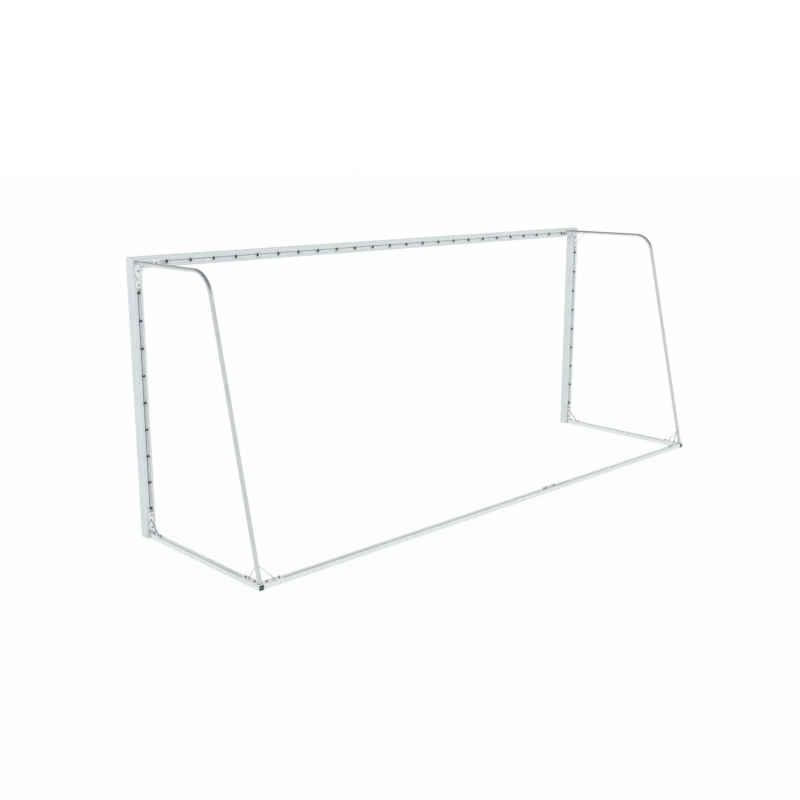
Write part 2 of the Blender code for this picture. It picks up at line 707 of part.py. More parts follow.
def make_base_bracket(name, side, material):
    """A flat bar bent to an L, with one arm on the post and one on the side bar."""
    bottom = BAR_PLATE_Z
    end = REAR_FACE_Y + BRACKET_LENGTH
    inner_bend = BRACKET_BEND - PLATE
    outer_arc = rounded(rectangle(WALL_PLATE_Y, bottom, end, BRACKET_HEIGHT), BRACKET_BEND)
    inner_arc = rounded(rectangle(WALL_PLATE_Y + PLATE, bottom + PLATE, end, BRACKET_HEIGHT),
                        inner_bend)
    corner_points = CORNER_STEPS + 1
    outline = (outer_arc[:corner_points]
               + [Vector((end, bottom)), Vector((end, bottom + PLATE))]
               + inner_arc[:corner_points][::-1]
               + [Vector((WALL_PLATE_Y + PLATE, BRACKET_HEIGHT)),
                  Vector((WALL_PLATE_Y, BRACKET_HEIGHT))])
    bm = bmesh.new()
    add_prism(bm, [outline], basis(Y_AXIS, Z_AXIS, X_AXIS), Vector((side * POST_X, 0, 0)),
              level(-PLATE_WIDTH / 2), level(PLATE_WIDTH / 2))
    bracket = finish("base_bracket_" + name, bm, material)
    drill(bracket, list(bracket_holes(side)), BOLT_HOLE_DIAMETER, 2 * PLATE)


def make_base_stay(name, side, material):
    direction = (Y_AXIS - Z_AXIS).normalized()
    start = Vector((side * POST_X, WALL_PLATE_REAR_Y, BASE_STAY_HEIGHT))
    wall = start + Y_AXIS * GAP
    floor = Vector((side * POST_X, 0, BAR_PLATE_TOP_Z + GAP))
    bm = bmesh.new()
    add_stay(bm, start, direction,
             lambda origin, way: plane_distance(origin, way, wall, Y_AXIS),
             lambda origin, way: plane_distance(origin, way, floor, Z_AXIS))
    finish("base_stay_" + name, bm, material)


def build():
    for piece in list(bpy.data.objects):
        bpy.data.objects.remove(piece, do_unlink=True)
    frame_metal = make_material("white_coated_aluminium", (0.74, 0.77, 0.77), 0.35, 0.0)
    casting = make_material("cast_aluminium", (0.60, 0.61, 0.62), 0.50, 1.0)
    tube_metal = make_material("galvanised_tube", (0.62, 0.64, 0.66), 0.30, 0.9)
    bar_metal = make_material("galvanised_bar", (0.70, 0.72, 0.73), 0.35, 0.8)
    plate_metal = make_material("galvanised_plate", (0.58, 0.60, 0.62), 0.40, 0.9)
    bar_steel = make_material("zinc_plated_steel", (0.50, 0.51, 0.52), 0.40, 1.0)
    strip_plastic = make_material("grey_plastic", (0.50, 0.53, 0.53), 0.50, 0.0)
    black_plastic = make_material("black_plastic", (0.02, 0.02, 0.022), 0.45, 0.0)
    make_crossbar(frame_metal)
    make_hook_strips(strip_plastic, black_plastic)
    make_splice(bar_metal, plate_metal)
    for name, side in SIDES:
        make_post(name, side, frame_metal)
        make_corner_connector(name, side, casting)
        make_post_plug(name, side, black_plastic)
        make_tapped_bars(name, side, bar_steel)
        make_arch(name, side, tube_metal)
        make_arch_plates(name, side, plate_metal)
        make_arch_stays(name, side, plate_metal)
        make_side_bar(name, side, bar_metal)
        make_rear_bar(name, side, bar_metal)
        make_end_cap(name, side, black_plastic)
        make_base_bracket(name, side, plate_metal)
        make_base_stay(name, side, plate_metal)


build()
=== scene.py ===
# %% [markdown]
# # A small-sided ball goal, seen from behind
#
# The goal is a frame of grooved aluminium section, two bent tubes that would carry a net, and a
# flat frame of square bars on the ground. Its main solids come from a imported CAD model. This
# lesson gives them their real finishes, adds the bolts, screws, welds and hooks that are too fine
# for the CAD, and lights everything so that the pale metal still reads on a pale floor.

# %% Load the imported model
import math

import bmesh
import bpy
from mathutils import Matrix, Vector


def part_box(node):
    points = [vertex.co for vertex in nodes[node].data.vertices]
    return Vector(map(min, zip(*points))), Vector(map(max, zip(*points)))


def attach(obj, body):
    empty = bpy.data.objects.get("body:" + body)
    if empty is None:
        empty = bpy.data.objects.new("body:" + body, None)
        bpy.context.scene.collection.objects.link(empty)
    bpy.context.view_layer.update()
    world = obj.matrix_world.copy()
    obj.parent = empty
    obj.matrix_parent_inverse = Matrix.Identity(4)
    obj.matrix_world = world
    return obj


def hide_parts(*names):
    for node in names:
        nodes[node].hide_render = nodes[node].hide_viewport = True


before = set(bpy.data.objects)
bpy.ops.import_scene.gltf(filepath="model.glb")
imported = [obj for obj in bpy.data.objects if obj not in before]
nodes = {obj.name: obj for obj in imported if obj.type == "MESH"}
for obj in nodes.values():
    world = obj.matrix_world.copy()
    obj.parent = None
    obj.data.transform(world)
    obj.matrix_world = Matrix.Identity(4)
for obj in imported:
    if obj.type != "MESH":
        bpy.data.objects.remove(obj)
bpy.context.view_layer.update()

# %% [markdown]
# ## The camera
#
# A camera can be worked out from a photograph when it shows a regular row of things. Here the net
# hooks are 200 mm apart along the crossbar and down both posts, and only one camera puts all of
# them where the photograph has them. It stands 6 m to the side, 6 m behind the mouth and 2.7 m up.
# Its axes are written as the directions of the picture's right side and of its lower side.

# %% Camera
CAMERA_PLACE = Vector((6.2368, 5.8956, 2.7104))
PICTURE_RIGHT = Vector((-0.72251, 0.69136, 0.00029)).normalized()
PICTURE_DOWN = Vector((0.15324, 0.16055, -0.97506)).normalized()
FOCAL_PIXELS = 1031
PICTURE_PIXELS = 800
SENSOR_MILLIMETRES = 36

camera_data = bpy.data.cameras.new("camera")
camera_data.sensor_width = SENSOR_MILLIMETRES
camera_data.lens = SENSOR_MILLIMETRES * FOCAL_PIXELS / PICTURE_PIXELS
camera = bpy.data.objects.new("camera", camera_data)
bpy.context.scene.collection.objects.link(camera)
backwards = PICTURE_RIGHT.cross(-PICTURE_DOWN)
turn = Matrix((PICTURE_RIGHT, -PICTURE_DOWN, backwards)).transposed()
camera.matrix_world = Matrix.Translation(CAMERA_PLACE) @ turn.to_4x4()
bpy.context.scene.camera = camera
print("lens", round(camera_data.lens, 2), "mm")

# %% [markdown]
# ## Where the plates are
#
# Each bent tube ends on an L-shaped plate at its top and on another at its foot. The tubes, their
# welds and the bolts are all placed from the point where the middle lines of a plate's two arms
# meet, on the face that the bolts sit on. It is worked out from the plate's box, so the fittings
# stay on the plates if the goal's size changes.

# %% Corners of the plates
LEFT_RIGHT = (("left", -1), ("right", 1))
BACK = Vector((0, 1, 0))
UP = Vector((0, 0, 1))
PLATE_WIDTH = 0.040


def plate_corner(node, side):
    """The corner of a plate's middle lines, on its rear face or, where it lies flat, on its top."""
    low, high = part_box(node)
    half = PLATE_WIDTH / 2
    across = high.x - half if side > 0 else low.x + half
    stands = high.z - low.z > high.y - low.y
    if stands:
        return Vector((across, high.y, high.z - half))
    return Vector((across, high.y - half, high.z))


for name, side in LEFT_RIGHT:
    print(name, "top corner", plate_corner("arch_top_plate_" + name, side),
          "ground corner", plate_corner("arch_foot_plate_" + name, side))

# %% [markdown]
# ## Making a piece from a mesh
#
# Every new piece is built as a mesh in world places, so its object stays at the origin, as the
# CAD nodes' objects do. That gives all finishes one shared coordinate, in metres. Faces are shaded
# smooth except across edges sharper than 40 degrees.

# %% A new piece
SMOOTH_ANGLE = math.radians(40)


def make_piece(name, bm, finish):
    bmesh.ops.recalc_face_normals(bm, faces=bm.faces)
    mesh = bpy.data.meshes.new(name)
    bm.to_mesh(mesh)
    bm.free()
    mesh.materials.append(finish)
    mesh.shade_smooth()
    mesh.set_sharp_from_angle(angle=SMOOTH_ANGLE)
    piece = bpy.data.objects.new(name, mesh)
    bpy.context.scene.collection.objects.link(piece)
    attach(piece, "root")
    return piece


print("edges stay sharp above", round(math.degrees(SMOOTH_ANGLE)), "degrees")

# %% [markdown]
# Tubes, rods, bolts, hooks and welds have one thing in common: each is a skin stretched over a row
# of rings. So one function makes the skin, and each piece only has to say where its rings are.

# %% Skins over rings
def add_rings(bm, rings, closed=False):
    """A skin through rings of equal counts, capped at both ends or closed on itself."""
    loops = [[bm.verts.new(point) for point in ring] for ring in rings]
    following = loops[1:] + loops[:1] if closed else loops[1:]
    for lower, upper in zip(loops, following):
        for i in range(len(lower)):
            bm.faces.new((lower[i - 1], lower[i], upper[i], upper[i - 1]))
    if not closed:
        bm.faces.new(loops[0])
        bm.faces.new(loops[-1])


def circle(radius, steps):
    turns = [2 * math.pi * i / steps for i in range(steps)]
    return [Vector((radius * math.cos(a), radius * math.sin(a))) for a in turns]


def frame_round(outward):
    """Two directions square to the one given, and to each other."""
    side = outward.orthogonal().normalized()
    return side, outward.cross(side).normalized()


def add_stack(bm, seat, outward, steps):
    """A skin through (outline, distance) steps, stacked from a seat in one direction."""
    across, up = frame_round(outward)
    add_rings(bm, [[seat + across * p.x + up * p.y + outward * out for p in outline]
                   for outline, out in steps])


print("a circle starts at", circle(1, 4)[0].to_tuple(1))

# %% [markdown]
# ## Building finishes from nodes
#
# A finish is a small network of nodes. Noise stretched along one axis gives the fine lines of an
# extrusion, cells give the frost-like spangle of zinc, and a slow noise keeps a large surface from
# looking like one flat paint. All coordinates are object coordinates, which here are metres, so a
# pattern's scale is how many times it fits in a metre.

# %% Patterns
def new_finish(name):
    finish = bpy.data.materials.new(name)
    finish.use_nodes = True
    tree = finish.node_tree
    return finish, tree, tree.nodes["Principled BSDF"]


def coordinates(tree, stretch=(1, 1, 1)):
    where = tree.nodes.new("ShaderNodeTexCoord")
    mapping = tree.nodes.new("ShaderNodeMapping")
    mapping.inputs["Scale"].default_value = stretch
    tree.links.new(where.outputs["Object"], mapping.inputs["Vector"])
    return mapping.outputs["Vector"]


def place_along(tree, axis):
    """How far along X, Y or Z a point of the surface lies."""
    split = tree.nodes.new("ShaderNodeSeparateXYZ")
    tree.links.new(coordinates(tree), split.inputs["Vector"])
    return split.outputs[axis]


def noise(tree, scale, detail, stretch=(1, 1, 1), roughness=0.5):
    node = tree.nodes.new("ShaderNodeTexNoise")
    node.inputs["Scale"].default_value = scale
    node.inputs["Detail"].default_value = detail
    node.inputs["Roughness"].default_value = roughness
    tree.links.new(coordinates(tree, stretch), node.inputs["Vector"])
    return node.outputs["Fac"]


def cells(tree, scale):
    """A random value for each cell of a Voronoi pattern."""
    node = tree.nodes.new("ShaderNodeTexVoronoi")
    node.inputs["Scale"].default_value = scale
    tree.links.new(coordinates(tree), node.inputs["Vector"])
    split = tree.nodes.new("ShaderNodeSeparateColor")
    tree.links.new(node.outputs["Color"], split.inputs["Color"])
    return split.outputs["Red"]


print("a scale of 150 repeats every", round(1000 / 150, 1), "mm")

# %% [markdown]
# A pattern gives a number for each point of a surface. The next helpers bring it into another
# range, or combine it with other numbers.

# %% Working on values
def remap(tree, value, low, high, to_low, to_high):
    node = tree.nodes.new("ShaderNodeMapRange")
    for socket, number in (("From Min", low), ("From Max", high), ("To Min", to_low),
                           ("To Max", to_high)):
        node.inputs[socket].default_value = number
    tree.links.new(value, node.inputs["Value"])
    return node.outputs["Result"]


def combine(tree, operation, first, second=0):
    node = tree.nodes.new("ShaderNodeMath")
    node.operation = operation
    for socket, value in zip(node.inputs, (first, second)):
        if isinstance(value, (int, float)):
            socket.default_value = value
        else:
            tree.links.new(value, socket)
    return node.outputs["Value"]


def weighted(tree, first, *others):
    """The sum of (value, weight) pairs, each value times its weight."""
    total = combine(tree, "MULTIPLY", *first)
    for pair in others:
        total = combine(tree, "ADD", total, combine(tree, "MULTIPLY", *pair))
    return total


print("materials before the goal's own finishes:", len(bpy.data.materials))

# %% [markdown]
# The numbers then do something that can be seen: they mix two colours, lay one more colour over a
# finish, or raise the surface a little.

# %% Colours and relief
def mix_colours(tree, share, first, second):
    """Goes from the first colour to the second as the share goes from 0 to 1."""
    node = tree.nodes.new("ShaderNodeMix")
    node.data_type = "RGBA"
    tree.links.new(share, node.inputs["Factor"])
    for socket, colour in (("A", first), ("B", second)):
        place = [s for s in node.inputs if s.name == socket and s.type == "RGBA"][0]
        if isinstance(colour, tuple):
            place.default_value = (*colour, 1)
        else:
            tree.links.new(colour, place)
    return [s for s in node.outputs if s.type == "RGBA"][0]


def lay_over(finish, share, colour):
    """Lays one more colour over a finish, as thick as the share says."""
    tree = finish.node_tree
    base = tree.nodes["Principled BSDF"].inputs["Base Color"]
    tree.links.new(mix_colours(tree, share, base.links[0].from_socket, colour), base)


def bump(tree, shader, height, strength, distance):
    node = tree.nodes.new("ShaderNodeBump")
    node.inputs["Strength"].default_value = strength
    node.inputs["Distance"].default_value = distance
    tree.links.new(height, node.inputs["Height"])
    tree.links.new(node.outputs["Normal"], shader.inputs["Normal"])


print("a relief's strength goes from 0 to 1, and its distance is in metres")

# %% [markdown]
# ## Coated aluminium
#
# The posts and the crossbar are extruded and then coated in a light grey-white. Up close such a
# bar shows very faint lines along its length from the die, a fine orange-peel skin, and slow
# changes of tone. Near the ground the posts pick up a little dust and grass stain. The lines run
# along the bar, so the crossbar and the posts each get their own direction of stretch.

# %% Coated aluminium
COAT_LIGHT = (0.735, 0.795, 0.784)
COAT_DULL = (0.660, 0.718, 0.711)
DUST = (0.560, 0.560, 0.520)
DUST_TOP = 0.35
DUST_MOST = 0.45
SKIN_DEPTH = 0.0002
LINES_ALONG_X = (0.01, 1, 1)
LINES_ALONG_Z = (1, 1, 0.01)


def coated_aluminium(name, lines):
    finish, tree, shader = new_finish(name)
    tone = weighted(tree, (noise(tree, 2.5, 4), 0.6), (noise(tree, 260, 2, lines), 0.4))
    coat = mix_colours(tree, remap(tree, tone, 0.35, 0.70, 0, 1), COAT_LIGHT, COAT_DULL)
    tree.links.new(coat, shader.inputs["Base Color"])
    low = remap(tree, place_along(tree, "Z"), 0, DUST_TOP, DUST_MOST, 0)
    dusty = combine(tree, "MULTIPLY", low, remap(tree, noise(tree, 30, 6), 0.35, 0.75, 0, 1))
    lay_over(finish, dusty, DUST)
    scuffs = remap(tree, noise(tree, 90, 5, lines), 0.3, 0.7, 0.30, 0.44)
    tree.links.new(weighted(tree, (scuffs, 1), (dusty, 0.3)), shader.inputs["Roughness"])
    shader.inputs["Metallic"].default_value = 0.0
    shader.inputs["IOR"].default_value = 1.5
    skin = combine(tree, "ADD", noise(tree, 700, 1), noise(tree, 500, 1, lines))
    bump(tree, shader, skin, 0.12, SKIN_DEPTH)
    return finish


crossbar_coat = coated_aluminium("coated_aluminium_crossbar", LINES_ALONG_X)
post_coat = coated_aluminium("coated_aluminium_post", LINES_ALONG_Z)
print("coats", crossbar_coat.name, post_coat.name)

# %% [markdown]
# ## Zinc on steel
#
# The bent tubes, the ground bars and the plates are galvanised. Hot zinc freezes in flat crystals
# a few millimetres wide, each with its own grey and its own gloss, and dulls with time. A Voronoi
# pattern gives each crystal one random value, which moves both the colour and the roughness a
# little. One function makes all the zinc finishes, from the bright ground bars to the dull bolts.

# %% Zinc finishes
def zinc(name, light, dark, crystals, smooth, rough):
    """Zinc between two greys and two roughnesses, with so many crystals in a metre."""
    finish, tree, shader = new_finish(name)
    crystal = cells(tree, crystals)
    slow = noise(tree, 4, 5)
    fine = noise(tree, 300, 2)
    tone = weighted(tree, (crystal, 0.45), (slow, 0.35), (fine, 0.2))
    colour = mix_colours(tree, remap(tree, tone, 0.25, 0.75, 0, 1), light, dark)
    tree.links.new(colour, shader.inputs["Base Color"])
    gloss = remap(tree, combine(tree, "ADD", crystal, slow), 0.3, 1.6, smooth, rough)
    tree.links.new(gloss, shader.inputs["Roughness"])
    shader.inputs["Metallic"].default_value = 1.0
    bump(tree, shader, combine(tree, "ADD", crystal, fine), 0.10, SKIN_DEPTH)
    return finish


tube_zinc = zinc("zinc_on_bent_tube", (0.67, 0.70, 0.70), (0.57, 0.60, 0.60), 150, 0.24, 0.38)
brace_zinc = zinc("zinc_on_braces", (0.86, 0.87, 0.88), (0.76, 0.77, 0.78), 300, 0.22, 0.36)
# Painted shade: the base braces are the same zinc as the other braces, made darker.
shaded_brace_zinc = zinc("zinc_on_base_braces", (0.60, 0.62, 0.62), (0.48, 0.50, 0.50), 300, 0.16, 0.28)
bar_zinc = zinc("zinc_on_ground_bars", (0.81, 0.845, 0.84), (0.72, 0.755, 0.75), 130, 0.21, 0.32)
plate_zinc = zinc("zinc_on_plates", (0.83, 0.84, 0.855), (0.72, 0.73, 0.75), 170, 0.15, 0.27)
bolt_zinc = zinc("dull_zinc_on_bolts", (0.54, 0.54, 0.55), (0.42, 0.42, 0.43), 900, 0.28, 0.42)
tapped_zinc = zinc("zinc_on_tapped_bars", (0.52, 0.53, 0.54), (0.42, 0.43, 0.44), 400, 0.3, 0.5)
print("zinc finishes made, the first one is", tube_zinc.name)

# %% [markdown]
# A level tube's underside is painted lighter, a painted reflection of the bright floor under it.
# The direction in which a point of the surface faces tells it apart: its Z goes from 1 on top
# to -1 underneath. The steep legs have no underside, so they keep the zinc's middle tone.

# %% Painted floor reflection on the tubes' undersides
PAINTED_FLOOR_REFLECTION = (0.92, 0.94, 0.93)
UNDERSIDE_STARTS = -0.24
UNDERSIDE_IS_FULL = -0.55

tree = tube_zinc.node_tree
surface = tree.nodes.new("ShaderNodeNewGeometry")
split = tree.nodes.new("ShaderNodeSeparateXYZ")
tree.links.new(surface.outputs["Normal"], split.inputs["Vector"])
under = remap(tree, split.outputs["Z"], UNDERSIDE_STARTS, UNDERSIDE_IS_FULL, 0, 1)
patchy = remap(tree, noise(tree, 60, 4), 0.3, 0.6, 0.8, 1)
# Painted reflection: the downward-facing zinc is made lighter, as if it mirrored the floor.
lay_over(tube_zinc, combine(tree, "MULTIPLY", under, patchy), PAINTED_FLOOR_REFLECTION)
print("bright zinc from", round(math.degrees(math.asin(-UNDERSIDE_STARTS))), "degrees below level")

# %% [markdown]
# ## Castings, welds and plastics
#
# The corner connectors are sand castings and have a coarse grain. A weld bead is dull and slightly
# darker than the plate under it. The hooks, caps and plugs are black moulded plastic, with a fine
# grain and a few paler rubbed places.

# %% Castings, welds and plastics
def grainy(name, light, dark, grains, smooth, rough, metallic, depth):
    """A finish of fine specks and slow patches, with so many grains in a metre."""
    finish, tree, shader = new_finish(name)
    speck = noise(tree, grains, 4, roughness=0.65)
    slow = noise(tree, 22, 4)
    tone = weighted(tree, (speck, 0.5), (slow, 0.5))
    colour = mix_colours(tree, remap(tree, tone, 0.35, 0.7, 0, 1), light, dark)
    tree.links.new(colour, shader.inputs["Base Color"])
    tree.links.new(remap(tree, slow, 0.3, 0.7, smooth, rough), shader.inputs["Roughness"])
    shader.inputs["Metallic"].default_value = metallic
    bump(tree, shader, speck, 0.35, depth)
    return finish


def black_moulding(name):
    black, rubbed_black = (0.016, 0.016, 0.018), (0.034, 0.034, 0.036)
    return grainy(name, black, rubbed_black, 2200, 0.38, 0.58, 0.0, SKIN_DEPTH)


casting = grainy("sand_cast_aluminium", (0.62, 0.63, 0.64), (0.48, 0.49, 0.50), 900, 0.45, 0.65,
                 1.0, 2 * SKIN_DEPTH)
weld_bead = grainy("weld_bead", (0.70, 0.71, 0.72), (0.58, 0.59, 0.60), 1400, 0.38, 0.60, 1.0,
                   1.5 * SKIN_DEPTH)
black_plastic = black_moulding("black_moulded_plastic")
print("grainy finishes", casting.name, weld_bead.name, black_plastic.name)

# %% [markdown]
# The rails of the hooks are a light grey plastic. Their sides in the slot get painted shade,
# darker with the depth below the goal's rear face. The rails on the posts get a darker grey as
# painted shade, and more of the painted shade in the slot, so they are the greyer ones.

# %% Rails with painted shade in the slot
REAR_FACE_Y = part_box("post_right")[1].y
SLOT_SHADE = (0.10, 0.10, 0.10)
SLOT_SHADE_STARTS = 0.0024
SLOT_SHADE_IS_FULL = 0.0045


def rail_with_slot_shade(name, light, dark, most):
    finish = grainy(name, light, dark, 1600, 0.42, 0.60, 0.0, SKIN_DEPTH / 2)
    tree = finish.node_tree
    # Painted shade: the rail darkens with its depth in the slot, where shade falls.
    depth = remap(tree, place_along(tree, "Y"), REAR_FACE_Y - SLOT_SHADE_STARTS,
                  REAR_FACE_Y - SLOT_SHADE_IS_FULL, 0, most)
    patchy = remap(tree, noise(tree, 80, 4), 0.3, 0.6, 0.7, 1)
    lay_over(finish, combine(tree, "MULTIPLY", depth, patchy), SLOT_SHADE)
    return finish


crossbar_rail = rail_with_slot_shade("rail_plastic_crossbar", (0.78, 0.81, 0.81), (0.70, 0.73, 0.73), 0.2)
# The post rails' darker grey is painted shade.
shaded_post_rail = rail_with_slot_shade("rail_plastic_post", (0.60, 0.635, 0.63), (0.52, 0.555, 0.55), 0.3)
print("rail finishes made, rear face at", round(REAR_FACE_Y, 4))

# %% [markdown]
# The caps of the side bars are the same black plastic, but paler towards the middle of their
# dish. The distance from the cap's middle is worked out from the coordinates, with the left and
# right caps folded onto each other by taking X without its sign. It then mixes a grey into the
# black.

# %% Caps paler in the middle
CAP_MIDDLE = sum(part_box("end_cap_right"), Vector()) / 2
CAP_GREY = (0.20, 0.20, 0.20)
PALE_CORE = 0.003
PALE_EDGE = 0.011

cap_plastic = black_moulding("worn_cap_plastic")
tree = cap_plastic.node_tree
folded = combine(tree, "ABSOLUTE", place_along(tree, "X"))
across = combine(tree, "SUBTRACT", folded, CAP_MIDDLE.x)
upwards = combine(tree, "SUBTRACT", place_along(tree, "Z"), CAP_MIDDLE.z)
squares = combine(tree, "ADD", combine(tree, "POWER", across, 2),
                  combine(tree, "POWER", upwards, 2))
core = remap(tree, combine(tree, "SQRT", squares), PALE_CORE, PALE_EDGE, 1, 0)
patchy = remap(tree, noise(tree, 400, 4), 0.25, 0.6, 0.3, 1)
lay_over(cap_plastic, combine(tree, "MULTIPLY", core, patchy), CAP_GREY)
print("caps rubbed round", CAP_MIDDLE.to_tuple(3))

# %% [markdown]
# ## Giving the CAD nodes their finishes
#
# A CAD node keeps its shape, and only the material on its slot changes. The first part of a
# node's name says what the piece is, so a short table is enough. It is read from the top, so a
# longer name stands before a shorter one that starts the same. The hidden pieces get their
# finishes too, because someone may take the goal apart.

# %% Finishes on the CAD nodes
FINISHES = (
    ("crossbar", crossbar_coat), ("post_plug", black_plastic), ("post_", post_coat),
    ("corner_connector", casting), ("tapped_bar", tapped_zinc),
    ("arch_top_plate", plate_zinc), ("arch_foot_plate", plate_zinc),
    ("arch_top_stay", brace_zinc), ("arch_foot_stay", brace_zinc), ("arch_", tube_zinc),
    ("base_stay", shaded_brace_zinc), ("base_bracket", plate_zinc),
    ("splice_plate", shaded_brace_zinc), ("splice_sleeve", bar_zinc),
    ("side_bar", bar_zinc), ("rear_bar", bar_zinc), ("end_cap", cap_plastic),
    ("hook_strip_crossbar", crossbar_rail), ("hook_strip_post", shaded_post_rail),
)

for name, node in nodes.items():
    finish = next(f for start, f in FINISHES if name.startswith(start))
    node.data.materials.clear()
    node.data.materials.append(finish)
print("finished", len(nodes), "nodes")

# %% [markdown]
# ## The bent tubes
#
# Each net tube is one length of 30 mm tube with a single bend. The CAD tube has twenty flat
# sides, which is enough for a solid, but a round tube shows every flat in its highlights. So
# the tube is drawn again: a ring of points is carried along a straight run, round an arc and down
# the leg, and the plane of the ring turns with the path. The two meeting points with the plates
# are taken from the plates themselves, and the tube stops a hair's breadth off each of them.

# %% Bent tubes
TUBE_RADIUS = 0.015
TUBE_BEND = 0.180
TUBE_REACH = 0.885
BEND_STEPS = 32
TUBE_SIDES = 48
FIT = 0.0003


def tube_ends(name, side):
    """Where a tube's axis meets its top plate, where its two runs cross, and where it ends."""
    top = plate_corner("arch_top_plate_" + name, side)
    foot = plate_corner("arch_foot_plate_" + name, side)
    return top, Vector((top.x, REAR_FACE_Y + TUBE_REACH, top.z)), foot


def tube_rings(name, side):
    top, crossing, foot = tube_ends(name, side)
    leg = (foot - crossing).normalized()
    lean = BACK.angle(leg)
    centre = crossing - BACK * TUBE_BEND * math.tan(lean / 2) - UP * TUBE_BEND
    outline = circle(TUBE_RADIUS, TUBE_SIDES)
    rings = [[top + Vector((p.x, FIT, p.y)) for p in outline]]
    for step in range(BEND_STEPS + 1):
        angle = lean * step / BEND_STEPS
        out = Vector((0, math.sin(angle), math.cos(angle)))
        rings.append([centre + out * (TUBE_BEND + p.y) + Vector((p.x, 0, 0)) for p in outline])
    rings.append([p + leg * (foot.z + FIT - p.z) / leg.z for p in rings[-1]])
    return rings


for name, side in LEFT_RIGHT:
    rings = tube_rings(name, side)
    bm = bmesh.new()
    add_rings(bm, rings)
    tube = make_piece("net_tube_" + name, bm, tube_zinc)
    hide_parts("arch_" + name)
    print("tube", name, "rings", len(rings))

# %% [markdown]
# ## Net hooks
#
# The hooks are moulded in black plastic, one every 200 mm, on a grey rail that slides in the
# groove. The rail almost fills the groove, and a slot along its outer side is what shows as a thin
# dark line. A hook's stem stands on the rail, its finger points away from the mouth, and a nose
# stops the net's cord from slipping out. Seen along the groove the rail and the hook are each one
# flat outline. So each is drawn as an outline and then given a length. A moulding has no sharp
# corners, so this helper puts an arc in each corner.

# %% Rounded outlines
def rounded(points, steps):
    """An outline through (across, out, radius) corners, with an arc tangent to both sides."""
    corners = [Vector(p[:2]) for p in points]
    outline = []
    for index, corner in enumerate(corners):
        radius = points[index][2]
        back = (corners[index - 1] - corner).normalized()
        ahead = (corners[(index + 1) % len(corners)] - corner).normalized()
        half = back.angle(ahead) / 2
        centre = corner + (back + ahead).normalized() * radius / math.sin(half)
        first = corner + back * radius / math.tan(half) - centre
        last = corner + ahead * radius / math.tan(half) - centre
        turn = math.atan2(first.x * last.y - first.y * last.x, first.dot(last))
        for step in range(steps + 1):
            cos, sin = math.cos(turn * step / steps), math.sin(turn * step / steps)
            outline.append(centre + Vector((first.x * cos - first.y * sin,
                                            first.x * sin + first.y * cos)))
    return outline


print("a square with round corners:", len(rounded(((0, 0, 1), (9, 0, 1), (9, 9, 1), (0, 9, 1)), 4)),
      "points")

# %% [markdown]
# Both outlines are measured across from the middle of the groove and out from the goal's rear
# face, so what lies in the groove is below zero. The rail's foot is the wide strip that the
# groove's undercut holds.

# %% Outline of the rail
GROOVE_HALF = 0.0127
UNDERCUT_HALF = 0.0152
RAIL_SLOT = 0.0075
RAIL_OUTER = GROOVE_HALF - RAIL_SLOT
RAIL_TOP = -0.002
STRIP_TOP = -0.0127
STRIP_BOTTOM = -0.0157
STRIP_ROUND = 0.0004
STEP_ROUND = 0.0008
LIP_ROUND = 0.0012
RAIL_ROUND_STEPS = 4

RAIL_OUTLINE = rounded((
    (-UNDERCUT_HALF, STRIP_BOTTOM, STRIP_ROUND), (UNDERCUT_HALF, STRIP_BOTTOM, STRIP_ROUND),
    (UNDERCUT_HALF, STRIP_TOP, STRIP_ROUND), (RAIL_OUTER, STRIP_TOP, STEP_ROUND),
    (RAIL_OUTER, RAIL_TOP, LIP_ROUND), (-GROOVE_HALF, RAIL_TOP, LIP_ROUND),
    (-GROOVE_HALF, STRIP_TOP, STEP_ROUND), (-UNDERCUT_HALF, STRIP_TOP, STRIP_ROUND),
), RAIL_ROUND_STEPS)
print("rail outline", len(RAIL_OUTLINE), "points")

# %% [markdown]
# The hook's outline goes from the foot of the stem, which is sunk in the rail, up to the finger,
# out to the nose and back over the top. Its two upper corners are the roundest.

# %% Outline of a hook
HOOK_SETBACK = 0.006
HOOK_REACH = 0.0185
STEM_SIDE = -0.001
STEM_FOOT = -0.008
FINGER_BOTTOM = 0.006
FINGER_TOP = 0.010
NOSE_SIDE = 0.015
NOSE_TIP = 0.0045
STEM_ROUND = 0.0008
THROAT_ROUND = 0.0012
NOSE_ROUND = 0.0007
FRONT_ROUND = 0.0024
BACK_ROUND = 0.0035
HOOK_ROUND_STEPS = 6

HOOK_OUTLINE = rounded((
    (-HOOK_SETBACK, STEM_FOOT, STEM_ROUND), (STEM_SIDE, STEM_FOOT, STEM_ROUND),
    (STEM_SIDE, FINGER_BOTTOM, THROAT_ROUND), (NOSE_SIDE, FINGER_BOTTOM, NOSE_ROUND),
    (NOSE_SIDE, NOSE_TIP, NOSE_ROUND), (HOOK_REACH, NOSE_TIP, THROAT_ROUND),
    (HOOK_REACH, FINGER_TOP, FRONT_ROUND), (-HOOK_SETBACK, FINGER_TOP, BACK_ROUND),
), HOOK_ROUND_STEPS)
print("hook outline", len(HOOK_OUTLINE), "points")

# %% [markdown]
# A moulded hook is not a slice of a bar. Its finger narrows towards the nose, and the rims of both
# its sides are soft. Four copies of the outline give that: the two outer ones are a little smaller,
# and the half width of each point falls with its distance from the stem.

# %% A hook
HOOK_HALF = 0.008
NOSE_HALF = 0.003
HOOK_SOFTENING = 0.0005


def shrink(outline, distance):
    """The same outline moved inwards, each point along the mean of its two sides' normals."""
    moved = []
    for index, point in enumerate(outline):
        ahead = (outline[(index + 1) % len(outline)] - outline[index - 1]).normalized()
        moved.append(point + Vector((-ahead.y, ahead.x)) * distance)
    return moved


